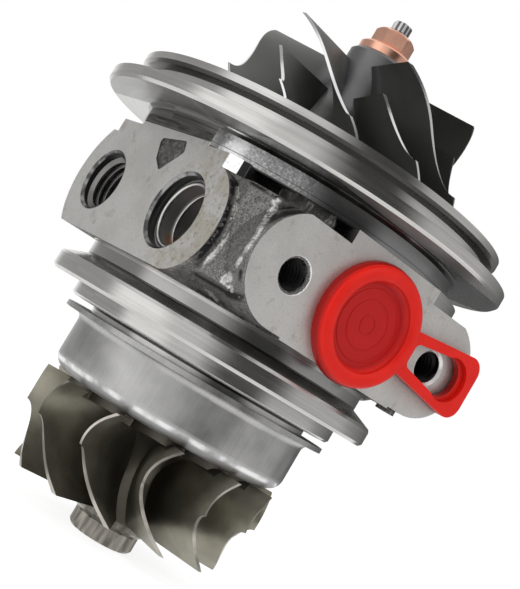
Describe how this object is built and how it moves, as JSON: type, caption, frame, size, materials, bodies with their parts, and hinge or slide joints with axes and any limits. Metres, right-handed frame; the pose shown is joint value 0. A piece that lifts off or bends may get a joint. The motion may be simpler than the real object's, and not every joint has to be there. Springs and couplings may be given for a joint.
{
  "type": "turbocharger cartridge",
  "caption": "Turbocharger centre section: bearing housing with V flange and seal flange, floating bearings, seals, and a rotor with compressor and turbine wheels.",
  "frame": {"origin": "on the shaft axis, at the clamping face of the small V flange", "axes": "+Z along the shaft towards the compressor wheel; the oil drain pad faces -Y and the coolant pad faces -X"},
  "size_m": [0.0896, 0.0896, 0.1195],
  "materials": {
    "cast_housing": "turned and milled grey iron with rough cast hollows",
    "plated_steel": "pressed plated steel",
    "shield_steel": "satin deep-drawn stainless steel",
    "turbine_alloy": "investment-cast nickel alloy, brown grey satin",
    "ground_steel": "ground steel",
    "ring_iron": "lapped iron",
    "bearing_bronze": "turned bronze",
    "spring_steel": "phosphated spring steel",
    "plate_aluminium": "turned aluminium",
    "seal_rubber": "matte black rubber",
    "wheel_aluminium": "matte dark cast aluminium with bright trimmed blade edges",
    "nut_copper": "copper-coloured plating",
    "cap_plastic": "soft red moulded plastic"
  },
  "bodies": {
    "housing": {"bearing_housing": "cast_housing", "core_plug": "plated_steel", "heat_shield": "shield_steel", "turbine_seal_ring_inner": "ring_iron", "turbine_seal_ring_outer": "ring_iron", "snap_ring_turbine_lower": "spring_steel", "snap_ring_turbine_upper": "spring_steel", "snap_ring_compressor": "spring_steel", "thrust_bearing": "bearing_bronze", "thrust_pins": "spring_steel", "oil_baffle": "plated_steel", "seal_plate": "plate_aluminium", "seal_plate_o_ring": "seal_rubber", "compressor_seal_ring": "ring_iron", "retaining_ring": "spring_steel"},
    "rotor": {"turbine_wheel": "turbine_alloy", "rotor_shaft": "ground_steel", "thrust_washer": "ground_steel", "thrust_collar": "ground_steel", "seal_sleeve": "ground_steel", "compressor_wheel": "wheel_aluminium", "compressor_nut": "nut_copper"},
    "turbine_bearing": {"turbine_journal_bearing": "bearing_bronze"},
    "compressor_bearing": {"compressor_journal_bearing": "bearing_bronze"},
    "cap": {"drain_cap": "cap_plastic"}
  },
  "joints": [
    {"name": "rotor_spin", "type": "hinge", "parent": "housing", "child": "rotor", "pos_m": [0, 0, 0], "axis": [0, 0, 1], "continuous": true},
    {"name": "turbine_bearing_float", "type": "hinge", "parent": "housing", "child": "turbine_bearing", "pos_m": [0, 0, 0.0055], "axis": [0, 0, 1], "continuous": true},
    {"name": "compressor_bearing_float", "type": "hinge", "parent": "housing", "child": "compressor_bearing", "pos_m": [0, 0, 0.0286], "axis": [0, 0, 1], "continuous": true},
    {"name": "cap_pull", "type": "slide", "parent": "housing", "child": "cap", "axis": [0, -1, 0], "range_m": [0, 0.025]}
  ]
}
